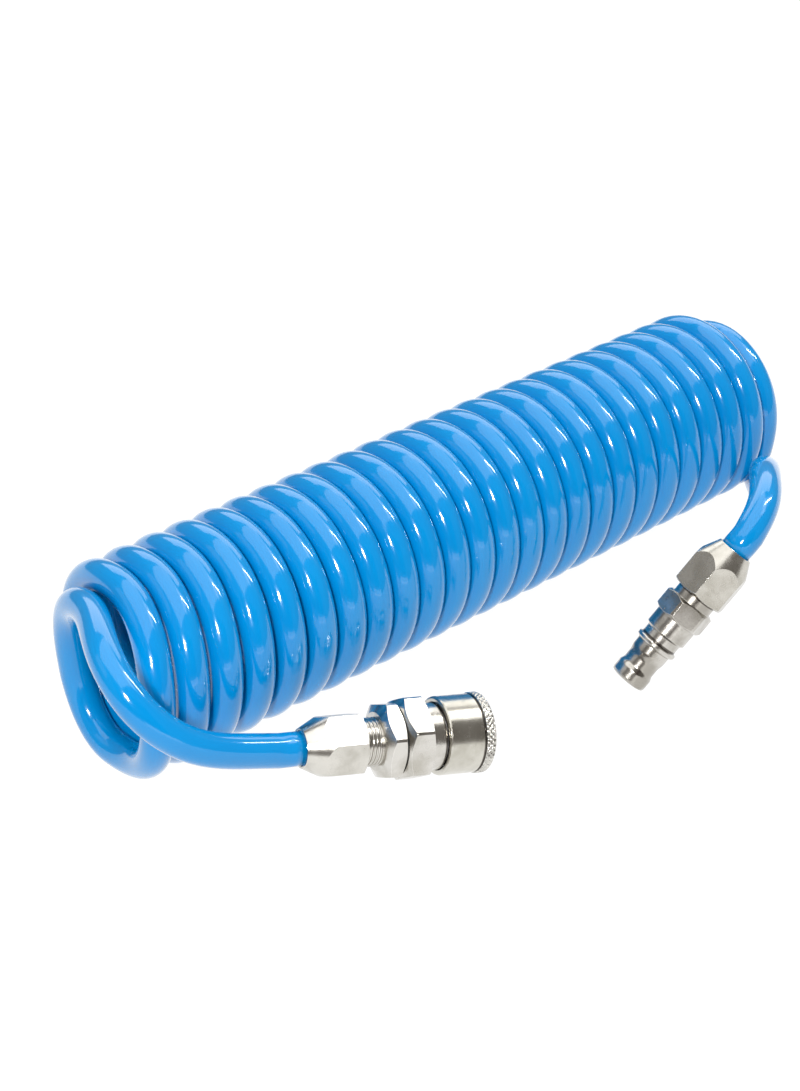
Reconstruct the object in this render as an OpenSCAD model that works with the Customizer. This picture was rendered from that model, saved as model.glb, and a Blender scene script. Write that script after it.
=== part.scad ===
// Coiled recoil air hose with a quick coupler on one end and its matching plug on the other.
// The hose lies on its side along X, both fittings rest in front of it, the floor is z = 0.

/* [Hose] */
// Outer diameter of the hose
hose_od = 12; // [10:0.5:12]
// Bore of the hose
hose_bore = 8; // [6:0.5:8]
// Air gap between neighbouring turns
turn_gap = 0.5; // [0.45:0.05:1.5]
// Mean radius of the coil
coil_r = 33; // [30:0.5:36]
// Whole turns in the tight part of the coil
coil_turns = 24; // [20:1:24]
// Turns at the coupler end that stand a little open
open_turns = 6; // [2:1:8]
// How fast those turns open
open_rate = 0.055; // [0:0.005:0.1]
// Mean radius of the half turn at each end, which sags
end_turn_r = 31; // [29:0.5:33]
// Pitch of the half turn at the coupler end
end_turn_pitch = 11.6; // [11.6:0.1:14]
// Depth of the flat that the hose rests on
rest_flat = 1.2; // [0.5:0.1:1.5]

/* [Union nuts] */
// Length of a union nut
nut_length = 21.5; // [20:0.5:30]
// Width across the flats of a union nut
nut_af = 20; // [18.5:0.5:24]
// Length of the cone at the hose end of the nut
nut_cone_length = 9; // [4:0.5:10]
// Radius of the small end of that cone
nut_cone_r = 6.9; // [6.8:0.1:8.5]
// Length of hose that the nut clamps
clamp_length = 13.5; // [11:0.5:15]
// Outer radius of the thread that the nut runs on
thread_r = 8; // [7.6:0.1:8.2]
// How much the barb swells the hose outside
hose_swell = 0.6; // [0.3:0.1:0.8]

/* [Coupler] */
// Length of thread that shows between the nut and the adapter hex
socket_neck = 6; // [4:0.5:10]
// Width across the flats of the adapter hex
socket_af = 25; // [21:0.5:26]
// Length of the adapter hex
adapter_hex_length = 7; // [5:0.5:14]
// Thickness of the flat gasket between adapter and body
gasket_t = 0.5; // [0.5:0.1:1.5]
// Width across the flats of the body hex
body_af = 27; // [25:0.5:30]
// Length of the body hex
body_hex_length = 9.5; // [9:0.5:14]
// Radius of the collar that the sleeve slides over
collar_r = 11.7; // [10.9:0.05:12]
// Length of that collar
collar_length = 5.3; // [5.3:0.1:8]
// Outer radius of the body tube
tube_r = 9.25; // [9.1:0.05:9.3]
// Length of the body tube in front of the collar
tube_length = 17.8; // [17.8:0.1:19]
// Radius of the mouth that takes the plug
mouth_r = 7.1; // [7.05:0.05:7.2]
// Radius of the locking balls
ball_r = 1.75; // [1.6:0.05:1.75]
// Travel of the sleeve towards the nut
sleeve_travel = 5; // [4:0.1:5]
// Travel of a ball outwards while the sleeve goes back
ball_travel = 1; // [0.8:0.05:1]
// Outer radius of the sleeve
sleeve_r = 13.8; // [13.4:0.05:14.5]
// Length of the knurled band at the front of the sleeve
band_length = 4.2; // [3:0.2:8]
// Wire thickness of the sleeve spring
sleeve_wire = 1; // [0.6:0.1:1]
// Travel of the valve poppet
poppet_travel = 3.9; // [3:0.1:3.9]
// Wire thickness of the valve spring
valve_wire = 0.8; // [0.5:0.1:0.8]

/* [Plug] */
// Length of thread that shows between the nut and the plug hex
plug_neck = 3.5; // [3:0.5:10]
// Width across the flats of the plug hex
plug_af = 18; // [17.5:0.5:22]
// Length of the plug hex
plug_hex_length = 8.3; // [5:0.1:12]
// Radius of the plug collar
plug_collar_r = 8.3; // [8:0.1:8.6]
// Length of the plug collar
plug_collar_length = 7.2; // [5:0.2:12]
// Length of the groove between collar and ring
plug_groove_length = 3.4; // [2:0.2:6]
// Length of the ring behind the nose
plug_ring_length = 2.2; // [1.6:0.2:4]
// Length of the nose that enters the coupler
nose_length = 16; // [15:0.2:18]
// Radius of the nose at its tip
nose_r = 7; // [6.9:0.05:7]
// Radius of the waist that the balls drop into
waist_r = 6.3; // [6:0.05:6.35]
// Radius of the air way through the plug
plug_bore_r = 3.5; // [2.5:0.1:3.6]

/* [Fits] */
// Radial clearance of a sliding metal part
running_gap = 0.05; // [0.03:0.01:0.08]
// Radial clearance round the hose and the thread in a nut
nut_gap = 0.15; // [0.1:0.05:0.25]
// Gap between parts of the lock that pass without touching
pass_gap = 0.3; // [0.25:0.05:0.4]

/* [Hidden] */
smooth = 64;
hose_blue = [0.03, 0.45, 0.9];
nickel = [0.76, 0.75, 0.72];
bright_steel = [0.62, 0.63, 0.65];
brass = [0.78, 0.62, 0.3];
rubber_black = [0.08, 0.08, 0.09];

// Coil: a left-handed helix about X that starts and ends at its lowest point.
pitch = hose_od + turn_gap;
rings_per_turn = 24;
ring_step = 360 / rings_per_turn;
coil_sides = 6;
tail_sides = 8;
coil_start_x = -151.1;
coil_y = 35.4;
coil_z = coil_r + hose_od / 2 - rest_flat;
end_turn_z = end_turn_r + hose_od / 2 - rest_flat;

// The open turns lean out at the front, and the half turn before them is narrow and set forward.
front_lean = 7;
first_turn_depth = 24;
first_turn_shift = 3;

// Where the hose face meets each fitting, and how far each fitting dips and turns from +X.
socket_at = [-118.1, -27.4, 25.9];
socket_dip = 10.3;
socket_heading = -18.5;
plug_at = [56.7, -64.6, 50.35];
plug_dip = 47.4;
plug_heading = 162.4;

// How far each hexagon is turned about its fitting's axis.
socket_nut_roll = 58;
adapter_roll = 57;
body_roll = 50;
plug_nut_roll = 20;
plug_hex_roll = 30;

// Free routes, from the coupler to the first half turn and from the last half turn to the plug.
socket_route = [[-125.6, -25.1, 27.3], [-136.1, -23.6, 31.8], [-147.1, -22.6, 35.8],
    [-157.1, -21.6, 42], [-165.6, -17.6, 49], [-171.1, -11.6, 57.5], [-173.1, -4.1, 65],
    [-171.1, 5.4, 69.3], [-166.6, 15.9, 69.9], [-161.1, 25.4, 69.4]];
plug_route = [[159.4, 55.9, 56.5], [165.4, 60.9, 36], [173.4, 47.9, 18], [173.4, 26.4, 9],
    [159.4, 7.4, 6], [152.4, -0.6, 8.5], [144.9, -7.6, 13], [137.9, -13.6, 19.5],
    [130.9, -18.6, 27], [124.4, -23.1, 34.5], [117.4, -27.6, 42.5], [110.4, -32.6, 49.5],
    [102.9, -38.1, 55.5], [94.9, -44.6, 60], [86.4, -52.1, 61.5], [78.4, -59.6, 62],
    [69.4, -64.6, 60.5], [61.4, -66.1, 55.5]];

// How much is turned off each hexagon's corners, and the depth and length of its back cone.
corner_turned = 0.3;
adapter_cone_depth = 2.3;
body_cone_depth = 0.9;
plug_cone_depth = 0.2;
adapter_cone = 2.2;
body_cone = 1.9;
hex_chamfer = 1;

// Stations along a fitting, measured from the hose face of its nut.
barb_start = 2;
barb_r = 5.2;
bore_opens = 3.5;
swell_start = 6;
swell_end = 10;
bore_r = 3.25;
hose_r = hose_od / 2;
fit_slack = 0.05;
nut_bore_start = clamp_length + 0.3;
thread_start = clamp_length + 1;
socket_hex_start = nut_length + socket_neck;
socket_hex_end = socket_hex_start + adapter_hex_length;
body_start = socket_hex_end + gasket_t;
collar_start = body_start + body_hex_length;
tube_start = collar_start + collar_length;
tube_end = tube_start + tube_length;
spigot_r = 8.25;
spigot_length = 6;
guide_t = 1.2;
guide_start = socket_hex_end + spigot_length + fit_slack;
guide_end = guide_start + guide_t;
chamber_start = guide_end + fit_slack;
chamber_r = 7.6;
seat_start = tube_start + 0.8;
seat_t = 2;
seat_end = seat_start + seat_t;
seat_hole_r = 5.2;
seal_t = 1.3;
seal_inner_r = 5.1;
seal_outer_r = 6.8;
head_end = seat_start - fit_slack - seal_t - fit_slack;
head_t = 1;
head_start = head_end - head_t;
head_r = 6.9;
stem_r = 1.9;
stem_start = guide_start - 1;
valve_tube_r = 4.7;
valve_tube_bore_r = 3.4;
valve_tube_depth = 11;
valve_tube_end = tube_end - valve_tube_depth;
packing_start = seat_end + 2.2;
packing_length = 2.2;
packing_end = packing_start + packing_length;
packing_groove_r = 8.2;
mouth_chamfer = 0.4;
packing_squeeze = 0.15;
packing_inner_r = nose_r - packing_squeeze;
ball_depth = 6.4;
ball_z = tube_end - ball_depth;
mouth_land_start = ball_z + ball_r;
mouth_relief = 0.25;
inner_mouth_r = mouth_r + mouth_relief;
ball_count = 6;
ball_angle = 360 / ball_count;
ball_reach = 0.65;
ball_rest_r = mouth_r - ball_reach + ball_r;
ball_hole_gap = running_gap;
cam_slope = ball_travel / sleeve_travel;
cam_gap = 0.157;
land_length = 1.2;
cam_start = ball_z - ball_r - fit_slack;
cam_end = cam_start + 5.4;
cam_start_r = ball_rest_r + ball_r + cam_gap - cam_slope * (ball_z - cam_start);
cam_end_r = cam_start_r + cam_slope * (cam_end - cam_start);
guide_land_start = cam_start - land_length;
spring_clearance = 0.2;
spring_room_r = tube_r + sleeve_wire + 2 * spring_clearance;
skirt_r = max(collar_r + pass_gap - fit_slack, spring_room_r);
front_bore_r = 11.4;
sleeve_start = tube_start + pass_gap;
sleeve_end = tube_end + 0.5;
ring_start = cam_end + pass_gap;
ring_t = 1.2;
ring_groove_r = tube_r - 0.7;
ring_outer_r = 11.05;
groove_width = 0.8;
groove_depth = 0.45;
band_start = sleeve_end - band_length;
groove_start = band_start - groove_width;
sleeve_spring_r = (tube_r + skirt_r) / 2;
valve_spring_r = 4.6;
plug_hex_start = nut_length + plug_neck;
plug_hex_end = plug_hex_start + plug_hex_length;
plug_collar_end = plug_hex_end + plug_collar_length;
plug_ring_start = plug_collar_end + plug_groove_length;
nose_start = plug_ring_start + plug_ring_length;
nose_end = nose_start + nose_length;

// ---- points and sweeps -------------------------------------------------------------------

function unit(v) = v / norm(v);

// Distance along X reached t turns after the start of the coil.
function coil_x(t) =
    coil_start_x + pitch * t + open_rate * (pow(open_turns, 2) - pow(max(open_turns - t, 0), 2));

// Point on a ring round the coil axis, a degrees on from the lowest point.
function on_ring(x, r, z, a) = [x, coil_y - r * sin(a), z - r * cos(a)];
function lean(a) =
    front_lean * max(1 - a / (360 * open_turns), 0) * pow(max(sin(a), 0), 2);
function coil_point(a) = on_ring(coil_x(a / 360) - lean(a), coil_r, coil_z, a);
function first_turn_point(a) =
    [coil_start_x + end_turn_pitch * a / 360 + first_turn_shift * pow(sin(a), 2),
        coil_y - first_turn_depth * sin(a), end_turn_z - end_turn_r * cos(a)];
function last_turn_point(a) = on_ring(coil_x(a / 360), end_turn_r, end_turn_z, a);

// A straight end one hose diameter long, along the chord that lies on the floor.
function beyond(from, to) = to + (from - to) * hose_od / norm(from - to);
half_step = ring_step / 2;
coil_sweep = 360 * coil_turns;
coil_start = beyond(coil_point(-half_step), coil_point(half_step));
coil_end = beyond(coil_point(coil_sweep + half_step), coil_point(coil_sweep - half_step));
coil_points = concat([coil_start],
    [for (i = [0 : coil_turns * rings_per_turn - 1]) coil_point(half_step + i * ring_step)],
    [coil_end]);

function fitting_dir(dip, heading) =
    [cos(dip) * cos(heading), cos(dip) * sin(heading), -sin(dip)];

half_turn_rings = 10;
socket_tail_points = concat([socket_at], socket_route,
    [for (i = [0 : half_turn_rings]) first_turn_point(-180 + i * ring_step)], [coil_start]);
plug_tail_points = concat([coil_end],
    [for (i = [0 : half_turn_rings]) last_turn_point(coil_sweep + 180 - (half_turn_rings - i) * ring_step)],
    plug_route, [plug_at]);

// Direction of a tube at each of its points; the two ends can be set.
function inner_dir(p, i) = unit(unit(p[i + 1] - p[i]) + unit(p[i] - p[i - 1]));
function directions(p, first, last) =
    concat([first], [for (i = [1 : len(p) - 2]) inner_dir(p, i)], [last]);

// Carries a side direction along a tube without twisting it.
function square_to(u, d) = unit(u - (u * d) * d);
function carried(d, u, i = 0, done = []) =
    i == len(d) ? done :
    let (w = square_to(u, d[i])) carried(d, w, i + 1, concat(done, [w]));

function on_floor(v) = [v.x, v.y, max(v.z, 0)];

// A closed tube of triangles through points p, with direction d and side direction u at each.
module swept_tube(p, d, u, r, sides, floored) {
    n = len(p);
    raw = [for (i = [0 : n - 1]) for (k = [0 : sides - 1])
        let (a = 360 * k / sides)
        p[i] + r * (cos(a) * u[i] + sin(a) * cross(d[i], u[i]))];
    pts = floored ? [for (v = raw) on_floor(v)] : raw;
    side_a = [for (i = [0 : n - 2]) for (k = [0 : sides - 1])
        let (m = (k + 1) % sides)
        [i * sides + k, (i + 1) * sides + m, i * sides + m]];
    side_b = [for (i = [0 : n - 2]) for (k = [0 : sides - 1])
        let (m = (k + 1) % sides)
        [i * sides + k, (i + 1) * sides + k, (i + 1) * sides + m]];
    first_cap = [for (k = [1 : sides - 2]) [0, k, k + 1]];
    last = (n - 1) * sides;
    last_cap = [for (k = [1 : sides - 2]) [last, last + k + 1, last + k]];
    polyhedron(pts, concat(side_a, side_b, first_cap, last_cap));
}

// Side direction of a coil ring: straight out from the coil axis.
function out_from_axis(p) = unit([0, p.y - coil_y, p.z - coil_z]);

coil_dirs = directions(coil_points,
    unit(coil_points[1] - coil_points[0]),
    unit(coil_points[len(coil_points) - 1] - coil_points[len(coil_points) - 2]));
coil_ups = [for (i = [0 : len(coil_points) - 1])
    square_to(out_from_axis(coil_points[i]), coil_dirs[i])];

// Least gap between one turn and the next, measured between points a turn apart.
turn_gaps = [for (i = [0 : len(coil_points) - rings_per_turn - 4]) for (j = [-3 : 3])
    norm(coil_points[i + rings_per_turn + j] - coil_points[i]) - hose_od];
echo(least_gap_between_turns = min(turn_gaps));

// A spring of whole and half turns about Z with a flat half turn at each end.
spring_rings = 12;
spring_sides = 6;
function spring_rise(t, turns) = min(max((t - 0.5) / (turns - 1), 0), 1);
function spring_points(r, wire, z0, z1, turns) =
    [for (i = [0 : turns * spring_rings])
        let (t = i / spring_rings, low = z0 + wire / 2, high = z1 - wire / 2)
        [r * cos(360 * t), r * sin(360 * t), low + (high - low) * spring_rise(t, turns)]];

module spring(r, wire, z0, z1, turns) {
    p = spring_points(r, wire, z0, z1, turns);
    d = directions(p, [0, 1, 0], unit(p[len(p) - 1] - p[len(p) - 2]));
    u = [for (i = [0 : len(p) - 1]) square_to([0, 0, 1], d[i])];
    gaps = [for (i = [0 : len(p) - spring_rings - 1]) norm(p[i + spring_rings] - p[i]) - wire];
    echo(least_gap_in_spring = min(gaps));
    swept_tube(p, d, u, wire / 2, spring_sides, false);
}

// ---- shared shapes -----------------------------------------------------------------------

module at_socket() {
    translate(socket_at) rotate([0, 90 + socket_dip, socket_heading]) children();
}

module at_plug() {
    translate(plug_at) rotate([0, 90 + plug_dip, plug_heading]) children();
}

// A turned shape: points are [radius, distance along the axis].
module turned(points) {
    rotate_extrude($fn = smooth) polygon(points);
}

module hex_bar(af, z0, z1) {
    translate([0, 0, z0]) linear_extrude(z1 - z0) circle(r = af / sqrt(3), $fn = 6);
}

// A hexagon with a cone of its own size turned at the back and a chamfer at the front.
module turned_hex(af, z0, z1, back_r, back, front) {
    corner_r = af / sqrt(3) - corner_turned;
    flat_r = af / 2 - 0.2;
    intersection() {
        hex_bar(af, z0, z1);
        turned([[0, z0], [back_r, z0], [corner_r, z0 + back], [corner_r, z1 - front],
            [flat_r, z1], [0, z1]]);
    }
}

// The union nut: a long cone at the hose end, flats, and a threaded bore in front.
module union_nut() {
    corner_r = nut_af / sqrt(3);
    flat_r = nut_af / 2 - 0.2;
    hole_r = hose_r + nut_gap;
    swell_r = hose_r + hose_swell + nut_gap;
    bore = thread_r + fit_slack;
    difference() {
        intersection() {
            hex_bar(nut_af, 0, nut_length);
            turned([[0, 0], [nut_cone_r, 0], [corner_r, nut_cone_length],
                [corner_r, nut_length - 1], [flat_r, nut_length], [0, nut_length]]);
        }
        turned([[0, -1], [hole_r, -1], [hole_r, swell_start], [swell_r, swell_end],
            [swell_r, nut_bore_start], [bore, nut_bore_start], [bore, nut_length + 1],
            [0, nut_length + 1]]);
    }
}

// The clamped end of the hose, swollen over the barb.
module clamped_hose() {
    turned([[hose_bore / 2, 0], [hose_r, 0], [hose_r, swell_start],
        [hose_r + hose_swell, swell_end],
        [hose_r + hose_swell, clamp_length], [barb_r, clamp_length], [barb_r, swell_end],
        [hose_bore / 2, bore_opens]]);
}

// Outline of a barb and the thread behind it, from the hose end up to z_end.
function barb_outline(z_end) =
    [[bore_r, barb_start], [hose_bore / 2 - fit_slack, barb_start],
        [hose_bore / 2 - fit_slack, bore_opens], [barb_r - fit_slack, swell_end],
        [barb_r - fit_slack, thread_start], [thread_r - 0.6, thread_start],
        [thread_r, thread_start + 0.6], [thread_r, z_end]];

// ---- hose --------------------------------------------------------------------------------

module hose_coil() {
    color(hose_blue)
        swept_tube(coil_points, coil_dirs, coil_ups, hose_r, coil_sides, true);
}

module hose_tail_socket() {
    p = socket_tail_points;
    d = directions(p, -fitting_dir(socket_dip, socket_heading), coil_dirs[0]);
    color(hose_blue)
        swept_tube(p, d, carried(d, [0, 0, 1]), hose_r, tail_sides, true);
}

module hose_tail_plug() {
    p = plug_tail_points;
    d = directions(p, coil_dirs[len(coil_dirs) - 1], fitting_dir(plug_dip, plug_heading));
    color(hose_blue)
        swept_tube(p, d, carried(d, [0, 0, 1]), hose_r, tail_sides, true);
}

module hose_end_socket() {
    color(hose_blue) at_socket() clamped_hose();
}

module hose_end_plug() {
    color(hose_blue) at_plug() clamped_hose();
}

// ---- coupler -----------------------------------------------------------------------------

module socket_nut() {
    color(nickel) at_socket() rotate([0, 0, socket_nut_roll]) union_nut();
}

// Barbed adapter: thread for the nut, a hex, and a spigot screwed into the body.
module socket_adapter() {
    spigot_end = socket_hex_end + spigot_length;
    color(nickel) at_socket() union() {
        rotate([0, 0, adapter_roll]) difference() {
            turned_hex(socket_af, socket_hex_start, socket_hex_end,
                socket_af / 2 - adapter_cone_depth, adapter_cone, hex_chamfer);
            translate([0, 0, socket_hex_start - 1])
                cylinder(r = thread_r - 1, h = adapter_hex_length + 2, $fn = smooth);
        }
        turned(concat(barb_outline(socket_hex_end), [[spigot_r, socket_hex_end],
            [spigot_r, spigot_end - 0.4], [spigot_r - 0.4, spigot_end], [bore_r, spigot_end]]));
    }
}

module body_gasket() {
    color(rubber_black) at_socket()
        turned([[spigot_r + 0.1, socket_hex_end], [socket_af / 2 - 0.5, socket_hex_end],
            [socket_af / 2 - 0.5, body_start], [spigot_r + 0.1, body_start]]);
}

// Hex and collar of the body, the tube in front and all of its bores.
module socket_body() {
    color(nickel) at_socket() difference() {
        union() {
            rotate([0, 0, body_roll])
                turned_hex(body_af, body_start, collar_start,
                    body_af / 2 - body_cone_depth, body_cone, hex_chamfer);
            turned([[0, body_start], [collar_r - 0.6, body_start],
                [collar_r - 0.6, collar_start + 0.1], [collar_r, collar_start + 0.7],
                [collar_r, tube_start], [tube_r, tube_start], [tube_r, tube_end - 0.5],
                [tube_r - 0.5, tube_end], [0, tube_end]]);
        }
        turned([[0, body_start - 1], [spigot_r + running_gap, body_start - 1],
            [spigot_r + running_gap, chamber_start], [chamber_r, chamber_start],
            [chamber_r, seat_start], [seat_hole_r, seat_start], [seat_hole_r, seat_end],
            [inner_mouth_r, seat_end], [inner_mouth_r, packing_start],
            [packing_groove_r, packing_start], [packing_groove_r, packing_end],
            [inner_mouth_r, packing_end], [inner_mouth_r, mouth_land_start],
            [mouth_r, mouth_land_start], [mouth_r, tube_end - mouth_chamfer],
            [mouth_r + mouth_chamfer, tube_end], [mouth_r + mouth_chamfer, tube_end + 1],
            [0, tube_end + 1]]);
        for (i = [0 : ball_count - 1]) ball_hole(i);
        snap_ring_groove();
    }
}

// One ball hole: round at the bottom so that a lip keeps the ball out of the bore.
module ball_hole(i) {
    hole_r = ball_r + ball_hole_gap;
    translate([0, 0, ball_z]) rotate([0, 0, i * ball_angle]) {
        translate([ball_rest_r, 0, 0]) sphere(r = hole_r, $fn = smooth);
        translate([ball_rest_r, 0, 0]) rotate([0, 90, 0])
            cylinder(r = hole_r, h = 4, $fn = smooth);
    }
}

module snap_ring_groove() {
    turned([[ring_groove_r, ring_start - fit_slack], [tube_r + 1, ring_start - fit_slack],
        [tube_r + 1, ring_start + ring_t + fit_slack],
        [ring_groove_r, ring_start + ring_t + fit_slack]]);
}

// Disc that guides the valve stem, with three air holes round its hub.
module valve_guide() {
    color(brass) at_socket() difference() {
        translate([0, 0, guide_start]) cylinder(r = spigot_r, h = guide_t, $fn = smooth);
        translate([0, 0, guide_start - 1])
            cylinder(r = stem_r + running_gap, h = guide_t + 2, $fn = smooth);
        for (a = [0 : 120 : 240])
            rotate([0, 0, a]) translate([5.2, 0, guide_start - 1])
                cylinder(r = 1.8, h = guide_t + 2, $fn = smooth);
    }
}

// Stem, head and open tube of the valve; the tube is what the plug pushes back.
module valve_poppet() {
    cross_z = seat_end - 0.6;
    color(brass) at_socket() difference() {
        turned([[0, stem_start], [stem_r, stem_start], [stem_r, head_start],
            [head_r, head_start], [head_r, head_end], [valve_tube_r, head_end],
            [valve_tube_r, valve_tube_end], [valve_tube_bore_r, valve_tube_end],
            [valve_tube_bore_r, head_end + 0.6], [0, head_end + 0.6]]);
        for (a = [45 : 90 : 135])
            rotate([0, 0, a]) translate([-8, 0, cross_z]) rotate([0, 90, 0])
                cylinder(r = 1.3, h = 16, $fn = smooth);
    }
}

module valve_seal() {
    color(rubber_black) at_socket()
        turned([[seal_inner_r, head_end + fit_slack], [seal_outer_r, head_end + fit_slack],
            [seal_outer_r, head_end + fit_slack + seal_t],
            [seal_inner_r, head_end + fit_slack + seal_t]]);
}

module valve_spring() {
    color(bright_steel) at_socket()
        spring(valve_spring_r, valve_wire, guide_end + 0.05, head_start - 0.05, 3);
}

module plug_seal() {
    color(rubber_black) at_socket()
        turned([[packing_inner_r, packing_start + fit_slack],
            [packing_groove_r - fit_slack, packing_start + fit_slack],
            [packing_groove_r - fit_slack, packing_end - fit_slack],
            [packing_inner_r, packing_end - fit_slack]]);
}

module locking_ball(i) {
    color(bright_steel) at_socket() rotate([0, 0, (i - 1) * ball_angle])
        translate([ball_rest_r, 0, ball_z]) sphere(r = ball_r, $fn = smooth);
}

// Outside: rounded ends, a groove and the band. Inside: skirt, guide land, cam, front bore.
module sleeve() {
    color(nickel) at_socket()
        turned([[skirt_r, sleeve_start], [sleeve_r - 0.8, sleeve_start],
            [sleeve_r - 0.23, sleeve_start + 0.23], [sleeve_r, sleeve_start + 0.8],
            [sleeve_r, groove_start], [sleeve_r - groove_depth, groove_start + 0.2],
            [sleeve_r - groove_depth, band_start - 0.2], [sleeve_r, band_start],
            [sleeve_r, sleeve_end - 1.6], [sleeve_r - 0.47, sleeve_end - 0.47],
            [sleeve_r - 1.6, sleeve_end], [front_bore_r, sleeve_end],
            [front_bore_r, cam_end], [cam_end_r, cam_end], [cam_start_r, cam_start],
            [tube_r + running_gap, cam_start], [tube_r + running_gap, guide_land_start],
            [skirt_r, guide_land_start]]);
}

module sleeve_spring() {
    color(bright_steel) at_socket()
        spring(sleeve_spring_r, sleeve_wire, tube_start + 0.05, guide_land_start - 0.05, 2.5);
}

module sleeve_stop_ring() {
    color(bright_steel) at_socket() rotate([0, 0, 20])
        rotate_extrude(angle = 335, $fn = smooth)
            polygon([[ring_groove_r + fit_slack, ring_start], [ring_outer_r, ring_start],
                [ring_outer_r, ring_start + ring_t], [ring_groove_r + fit_slack, ring_start + ring_t]]);
}

// ---- plug --------------------------------------------------------------------------------

module plug_nut() {
    color(nickel) at_plug() rotate([0, 0, plug_nut_roll]) union_nut();
}

// One turned piece: barb, thread, hex, collar, groove and ring, waisted nose, through bore.
module plug_body() {
    groove_r = waist_r + 0.95;
    ring_r = plug_collar_r - fit_slack;
    shank_r = nose_r - 0.15;
    color(nickel) at_plug() union() {
        rotate([0, 0, plug_hex_roll]) difference() {
            turned_hex(plug_af, plug_hex_start, plug_hex_end,
                plug_af / 2 - plug_cone_depth, hex_chamfer, hex_chamfer);
            translate([0, 0, plug_hex_start - 1])
                cylinder(r = thread_r - 1, h = plug_hex_length + 2, $fn = smooth);
        }
        turned(concat(barb_outline(plug_hex_end),
            [[plug_collar_r, plug_hex_end], [plug_collar_r, plug_collar_end - 0.8],
                [plug_collar_r - 0.8, plug_collar_end], [groove_r, plug_collar_end],
                [groove_r, plug_ring_start], [ring_r - 0.3, plug_ring_start + 0.3],
                [ring_r, plug_ring_start + 0.6],
                [ring_r, nose_start - 0.6], [ring_r - 0.6, nose_start], [shank_r, nose_start],
                [shank_r, nose_start + 3.4], [waist_r, nose_start + 6.2],
                [waist_r, nose_start + 9.6], [nose_r, nose_end - 4.6], [nose_r, nose_end - 0.9],
                [nose_r - 0.26, nose_end - 0.26], [nose_r - 0.9, nose_end],
                [plug_bore_r + 0.5, nose_end], [plug_bore_r, nose_end - 0.5],
                [plug_bore_r, plug_hex_end], [bore_r, plug_hex_end - 0.5]]));
    }
}

// ---- what is drawn -----------------------------------------------------------------------

hose_coil();
hose_tail_socket();
hose_tail_plug();
hose_end_socket();
hose_end_plug();
socket_nut();
socket_adapter();
body_gasket();
socket_body();
valve_guide();
valve_poppet();
valve_seal();
valve_spring();
plug_seal();
locking_ball(1);  // locking_ball_1
locking_ball(2);  // locking_ball_2
locking_ball(3);  // locking_ball_3
locking_ball(4);  // locking_ball_4
locking_ball(5);  // locking_ball_5
locking_ball(6);  // locking_ball_6
sleeve();
sleeve_spring();
sleeve_stop_ring();
plug_nut();
plug_body();
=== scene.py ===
import math

import bmesh
import bpy
from mathutils import Matrix, Vector


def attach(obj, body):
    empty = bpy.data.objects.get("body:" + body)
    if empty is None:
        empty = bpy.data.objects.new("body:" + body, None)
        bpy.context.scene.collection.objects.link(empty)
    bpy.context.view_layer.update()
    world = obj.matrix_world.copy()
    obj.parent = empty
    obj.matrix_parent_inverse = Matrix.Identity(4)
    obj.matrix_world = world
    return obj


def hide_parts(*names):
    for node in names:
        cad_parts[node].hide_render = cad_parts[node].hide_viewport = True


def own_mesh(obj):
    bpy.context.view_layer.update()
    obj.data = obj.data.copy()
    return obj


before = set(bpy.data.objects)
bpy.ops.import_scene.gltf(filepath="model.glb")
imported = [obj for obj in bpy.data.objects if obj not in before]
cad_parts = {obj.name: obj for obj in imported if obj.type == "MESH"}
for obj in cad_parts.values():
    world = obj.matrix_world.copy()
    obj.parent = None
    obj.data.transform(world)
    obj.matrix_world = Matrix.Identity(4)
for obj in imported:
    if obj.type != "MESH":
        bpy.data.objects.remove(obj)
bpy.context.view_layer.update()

# ---- View ---------------------------------------------------------------------------------
# The camera stands in front and to the left, just under half a metre up, and looks down at
# the middle of the coil. Its distance and lens set how fast the far turns shrink.

view_azimuth = math.radians(-41.07)
view_elevation = math.radians(31.92)
view_distance = 0.836
frame_width_px = 800
lens_px = 2169
coil_middle = Vector((0.0089, 0.0354, 0.039))
aim_right = -0.0208
aim_up = -0.0118

look = Vector((
    -math.sin(view_azimuth) * math.cos(view_elevation),
    math.cos(view_azimuth) * math.cos(view_elevation),
    -math.sin(view_elevation),
))
right = Vector((math.cos(view_azimuth), math.sin(view_azimuth), 0))
up = right.cross(look)
camera_data = bpy.data.cameras.new("camera")
camera_data.sensor_fit = "HORIZONTAL"
camera_data.sensor_width = 36
camera_data.lens = 36 * lens_px / frame_width_px
camera_data.clip_start = 0.01
camera = bpy.data.objects.new("camera", camera_data)
bpy.context.collection.objects.link(camera)
camera.matrix_world = Matrix.Translation(
    coil_middle + aim_right * right + aim_up * up - view_distance * look
) @ Matrix((right, up, -look)).transposed().to_4x4()
bpy.context.scene.camera = camera

# ---- Hose ---------------------------------------------------------------------------------
# One length of soft blue polyurethane hose, 12 mm outside and 8 mm inside, extruded and then
# set hot on a mandrel so that it springs back into a left-handed coil. Both ends leave the
# coil in a half turn, the first of them flattened, and then run to their fittings.

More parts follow.
